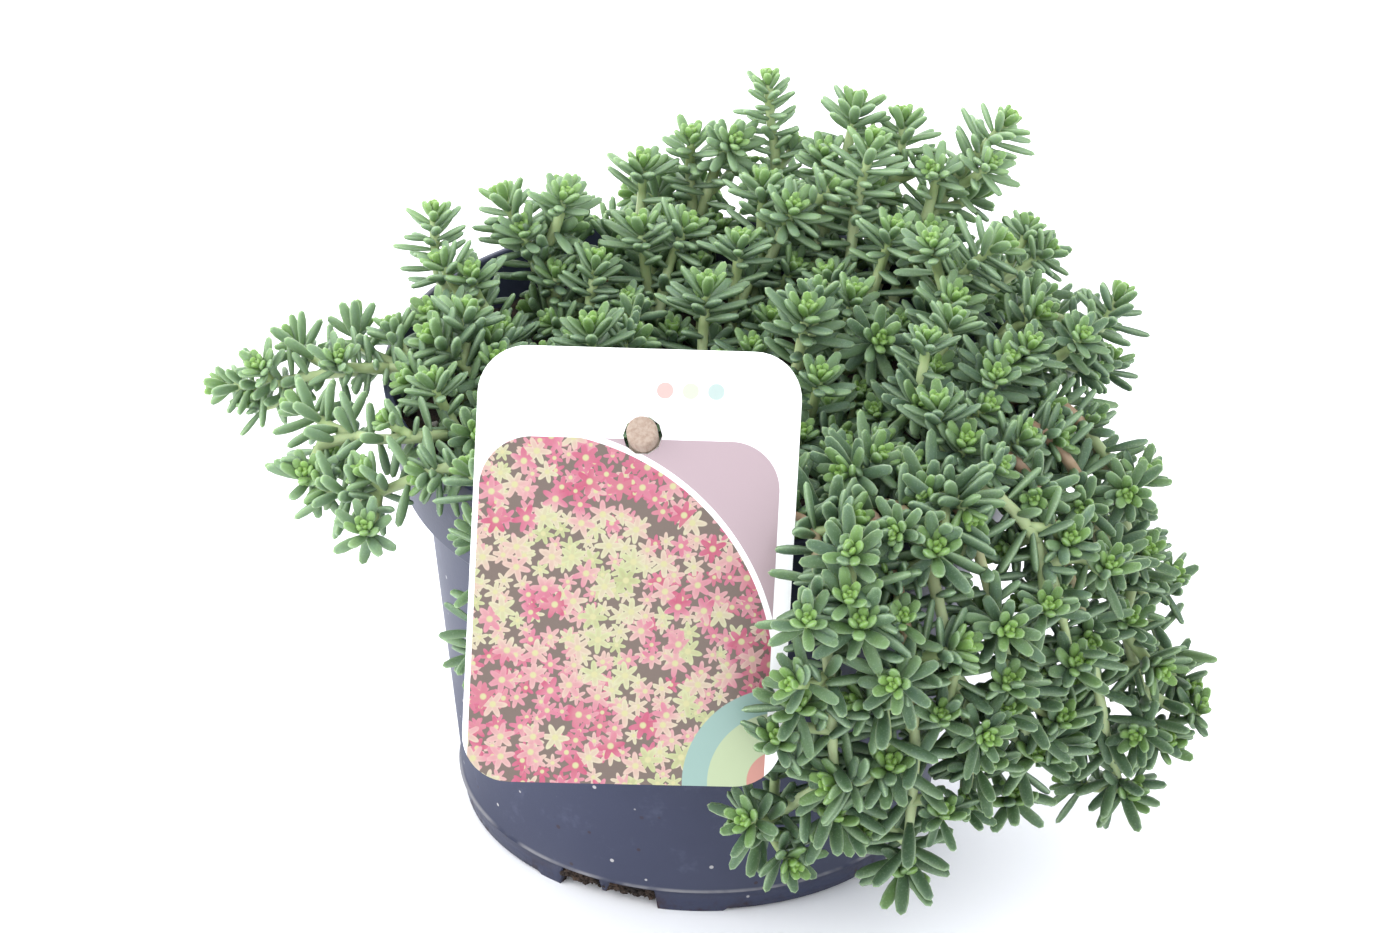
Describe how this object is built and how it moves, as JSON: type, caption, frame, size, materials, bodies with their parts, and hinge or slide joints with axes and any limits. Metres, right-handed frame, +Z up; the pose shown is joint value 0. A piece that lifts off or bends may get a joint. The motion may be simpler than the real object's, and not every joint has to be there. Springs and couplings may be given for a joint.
{
  "type": "potted coral carpet white stonecrop",
  "caption": "Low trailing stonecrop with short finger-like leaves, spilling over one side of a round nursery pot, with a plain hanging card on a wooden peg.",
  "frame": {"origin": "centre of the pot's foot, at the height of the surface it stands on", "axes": "+Z up, -Y towards the card, +X to the right of someone facing the card, along the plant's longest reach"},
  "size_m": [0.188, 0.167, 0.1258],
  "materials": {
    "pot_plastic": "satin",
    "peat": "matte",
    "card": "satin",
    "peg_wood": "matte",
    "foliage": "satin"
  },
  "bodies": {
    "root": {"pot": "pot_plastic", "soil": "peat", "card": "card", "peg": "peg_wood", "stem_left_far": "foliage", "stem_left_mid": "foliage", "stem_left_low": "foliage", "stem_left_top": "foliage", "stem_left_shoulder": "foliage", "stem_left_upright": "foliage", "stem_left_rear": "foliage", "stem_rear_bright": "foliage", "stem_rear_small": "foliage", "stem_rear_star": "foliage", "stem_rear_pair": "foliage", "stem_mid_left": "foliage", "stem_mid_column": "foliage", "stem_behind_card": "foliage", "stem_middle": "foliage", "stem_mid_right": "foliage", "stem_mid_low": "foliage", "stem_rear_tall": "foliage", "stem_rear_fan": "foliage", "stem_rear_slim": "foliage", "stem_pale_upright": "foliage", "stem_rear_leaning": "foliage", "stem_right_inner": "foliage", "stem_right_bright": "foliage", "stem_right_twin": "foliage", "stem_right_edge": "foliage", "stem_right_reach": "foliage", "stem_centre_right": "foliage", "stem_shoulder": "foliage", "stem_right_cluster": "foliage", "stem_right_pair": "foliage", "stem_front_small": "foliage", "stem_right_front": "foliage", "stem_front_bright": "foliage", "stem_front_spray": "foliage", "trail_right_rear": "foliage", "trail_right_outer": "foliage", "trail_right_middle": "foliage", "trail_front_right": "foliage", "trail_front_outer": "foliage", "trail_front_inner": "foliage", "trail_front_long": "foliage", "trail_front_bright": "foliage", "trail_front_card": "foliage", "trail_behind_card": "foliage", "trail_card_left": "foliage", "stem_front_left": "foliage", "stem_front_left_low": "foliage", "stem_front_middle": "foliage", "trail_rear_left": "foliage", "trail_rear_middle": "foliage", "trail_rear_right": "foliage", "trail_right_behind": "foliage"}
  },
  "joints": []
}
